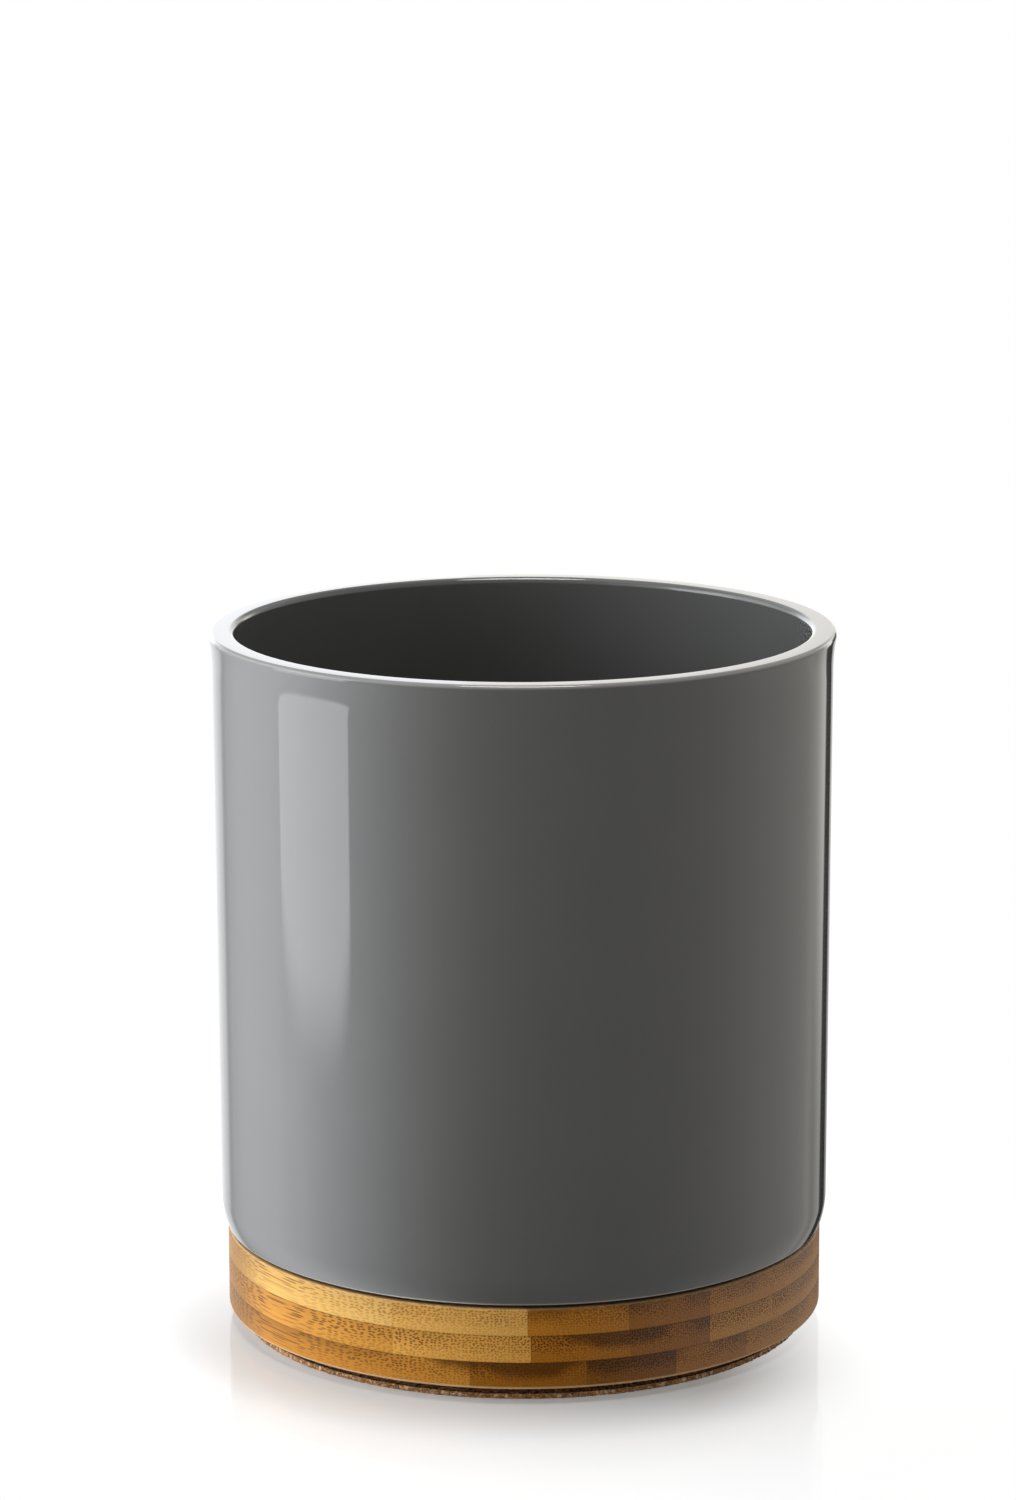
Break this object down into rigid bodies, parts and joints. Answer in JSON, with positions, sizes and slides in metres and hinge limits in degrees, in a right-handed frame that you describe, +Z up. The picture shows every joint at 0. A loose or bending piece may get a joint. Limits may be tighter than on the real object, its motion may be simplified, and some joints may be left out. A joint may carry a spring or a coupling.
{
  "type": "utensil crock",
  "caption": "Glazed ceramic utensil crock that lifts off a laminated bamboo base, which turns on a ball bearing over a cork foot.",
  "frame": {"origin": "centre of the cork pad's underside, on the surface that the crock stands on", "axes": "+Z up along the crock's axis and the turntable's axis; +X to the right and +Y away in the picture's front view"},
  "size_m": [0.1616, 0.1616, 0.183],
  "materials": {
    "grey_glaze": "gloss",
    "silicone": "satin",
    "bamboo_top": "satin",
    "bamboo_middle": "satin",
    "bamboo_bottom": "satin",
    "pressed_steel": "satin",
    "zinc_steel": "satin",
    "ball_steel": "polished",
    "nylon": "matte",
    "black_plate": "satin",
    "cork": "matte"
  },
  "bodies": {
    "foot": {"cork_pad": "cork", "foot_plate": "black_plate", "bearing_lower_race": "pressed_steel", "foot_rivets": "zinc_steel", "centre_eyelet": "zinc_steel", "hub_washer": "nylon"},
    "ball_ring": {"bearing_balls": "ball_steel", "ball_cage": "nylon"},
    "turntable": {"bearing_upper_race": "pressed_steel", "race_screws": "zinc_steel", "bamboo_bottom_layer": "bamboo_bottom", "bamboo_middle_layer": "bamboo_middle", "bamboo_top_layer": "bamboo_top", "seat_pads": "silicone"},
    "crock": {"ceramic_crock": "grey_glaze"}
  },
  "joints": [
    {"name": "turntable_spin", "type": "hinge", "parent": "foot", "child": "turntable", "pos_m": [0, 0, 0.0071], "axis": [0, 0, 1], "continuous": true},
    {"name": "cage_spin", "type": "hinge", "parent": "foot", "child": "ball_ring", "pos_m": [0, 0, 0.0071], "axis": [0, 0, 1], "continuous": true},
    {"name": "crock_lift", "type": "slide", "parent": "turntable", "child": "crock", "axis": [0, 0, 1], "range_m": [0, 0.04]}
  ],
  "couplings": [
    {"joint": "cage_spin", "follows": "turntable_spin", "ratio": 0.5}
  ]
}
